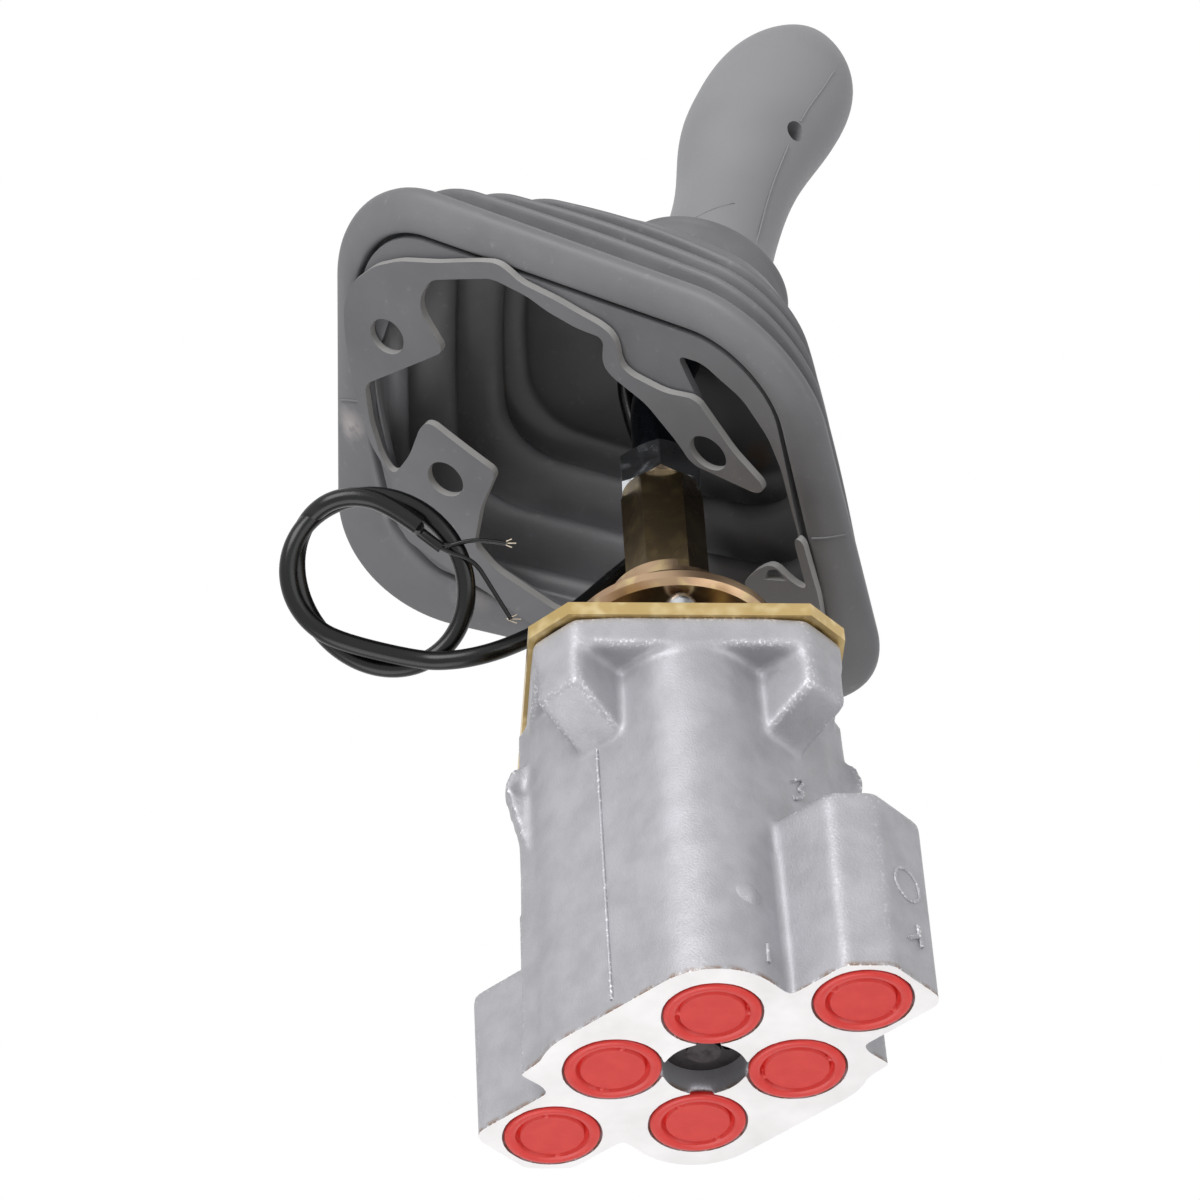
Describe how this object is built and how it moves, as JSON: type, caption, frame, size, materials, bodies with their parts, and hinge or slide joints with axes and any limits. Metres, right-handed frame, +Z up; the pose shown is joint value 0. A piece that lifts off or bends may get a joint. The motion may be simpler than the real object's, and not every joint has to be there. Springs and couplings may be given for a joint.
{
  "type": "hydraulic pilot control joystick",
  "caption": "Hydraulic pilot-control joystick: cast valve body with capped ports under a mounting plate, a bent lever with moulded grip, bellows boot and switch lead.",
  "frame": {"origin": "centre of the mounting plate's top face, where it bolts up under the console", "axes": "+Z up along the valve body and the lower lever, +X the side the bent lever leans to, -Y the front seen in the picture"},
  "size_m": [0.17, 0.1476, 0.3745],
  "materials": {
    "cast_aluminium": "die-cast aluminium, matt, machined port face",
    "yellow_zinc": "yellow-passivated zinc plating",
    "brown_zinc": "olive-brown passivated zinc plating",
    "bright_zinc": "clear zinc plating",
    "dark_steel": "drawn bar, dark blue zinc",
    "dark_iron": "oiled dark iron",
    "steel": "ground steel",
    "spring_steel": "oil-tempered wire",
    "bronze": "turned bearing bronze",
    "red_plastic": "moulded polyethylene",
    "grip_plastic": "moulded grey vinyl, satin",
    "black_plastic": "moulded nylon",
    "boot_rubber": "moulded dark grey rubber",
    "black_rubber": "nitrile rubber",
    "lead_jacket": "black vinyl cable jacket"
  },
  "bodies": {
    "housing": {"valve_body": "cast_aluminium", "mounting_plate": "yellow_zinc", "plate_screws": "bright_zinc", "port_plugs": "red_plastic", "retainer": "dark_iron", "o_rings": "black_rubber", "rod_wipers": "black_rubber", "joint_base": "steel", "bush_front": "bronze", "bush_rear": "bronze", "bush_left": "bronze", "bush_right": "bronze", "return_spring_front": "spring_steel", "return_spring_rear": "spring_steel", "return_spring_left": "spring_steel", "return_spring_right": "spring_steel", "balance_spring_front": "spring_steel", "balance_spring_rear": "spring_steel", "balance_spring_left": "spring_steel", "balance_spring_right": "spring_steel"},
    "cross": {"joint_cross": "steel"},
    "lever": {"joint_fork": "steel", "swash_disc": "yellow_zinc", "step_washer": "brown_zinc", "hex_coupling": "brown_zinc", "lock_nut": "bright_zinc", "lever_rod": "dark_steel", "grip": "grip_plastic", "horn_switch": "black_plastic", "boot": "boot_rubber", "lead_grommet": "black_rubber", "lead_run": "lead_jacket", "lead_coil": "lead_jacket", "lead_cores": "lead_jacket"},
    "button": {"horn_button": "black_plastic"},
    "push_rod_front": {"push_rod_front": "steel", "spring_seat_front": "steel"},
    "spool_front": {"spool_front": "steel"},
    "push_rod_rear": {"push_rod_rear": "steel", "spring_seat_rear": "steel"},
    "spool_rear": {"spool_rear": "steel"},
    "push_rod_left": {"push_rod_left": "steel", "spring_seat_left": "steel"},
    "spool_left": {"spool_left": "steel"},
    "push_rod_right": {"push_rod_right": "steel", "spring_seat_right": "steel"},
    "spool_right": {"spool_right": "steel"}
  },
  "joints": [
    {"name": "tilt_front_rear", "type": "hinge", "parent": "housing", "child": "cross", "pos_m": [0, 0, 0.01], "axis": [1, 0, 0], "range_deg": [-19, 19], "stiffness_Nm_per_rad": 6},
    {"name": "tilt_left_right", "type": "hinge", "parent": "cross", "child": "lever", "pos_m": [0, 0, 0.01], "axis": [0, 1, 0], "range_deg": [-19, 19], "stiffness_Nm_per_rad": 6},
    {"name": "horn_press", "type": "slide", "parent": "lever", "child": "button", "axis": [-0.2056, -0.8192, -0.5355], "range_m": [0, 0.0025], "stiffness_N_per_m": 800},
    {"name": "push_front", "type": "slide", "parent": "housing", "child": "push_rod_front", "axis": [0, 0, 1], "range_m": [-0.0078, 0.0078], "deforming": ["return_spring_front", "balance_spring_front"]},
    {"name": "meter_front", "type": "slide", "parent": "housing", "child": "spool_front", "axis": [0, 0, 1], "range_m": [-0.001, 0.001]},
    {"name": "push_rear", "type": "slide", "parent": "housing", "child": "push_rod_rear", "axis": [0, 0, 1], "range_m": [-0.0078, 0.0078], "deforming": ["return_spring_rear", "balance_spring_rear"]},
    {"name": "meter_rear", "type": "slide", "parent": "housing", "child": "spool_rear", "axis": [0, 0, 1], "range_m": [-0.001, 0.001]},
    {"name": "push_left", "type": "slide", "parent": "housing", "child": "push_rod_left", "axis": [0, 0, 1], "range_m": [-0.0078, 0.0078], "deforming": ["return_spring_left", "balance_spring_left"]},
    {"name": "meter_left", "type": "slide", "parent": "housing", "child": "spool_left", "axis": [0, 0, 1], "range_m": [-0.001, 0.001]},
    {"name": "push_right", "type": "slide", "parent": "housing", "child": "push_rod_right", "axis": [0, 0, 1], "range_m": [-0.0078, 0.0078], "deforming": ["return_spring_right", "balance_spring_right"]},
    {"name": "meter_right", "type": "slide", "parent": "housing", "child": "spool_right", "axis": [0, 0, 1], "range_m": [-0.001, 0.001]}
  ],
  "couplings": [
    {"joint": "push_front", "follows": "tilt_front_rear", "m_per_rad": -0.0232},
    {"joint": "meter_front", "follows": "tilt_front_rear", "m_per_rad": -0.0028},
    {"joint": "push_rear", "follows": "tilt_front_rear", "m_per_rad": 0.0232},
    {"joint": "meter_rear", "follows": "tilt_front_rear", "m_per_rad": 0.0028},
    {"joint": "push_left", "follows": "tilt_left_right", "m_per_rad": 0.0232},
    {"joint": "meter_left", "follows": "tilt_left_right", "m_per_rad": 0.0028},
    {"joint": "push_right", "follows": "tilt_left_right", "m_per_rad": -0.0232},
    {"joint": "meter_right", "follows": "tilt_left_right", "m_per_rad": -0.0028}
  ]
}
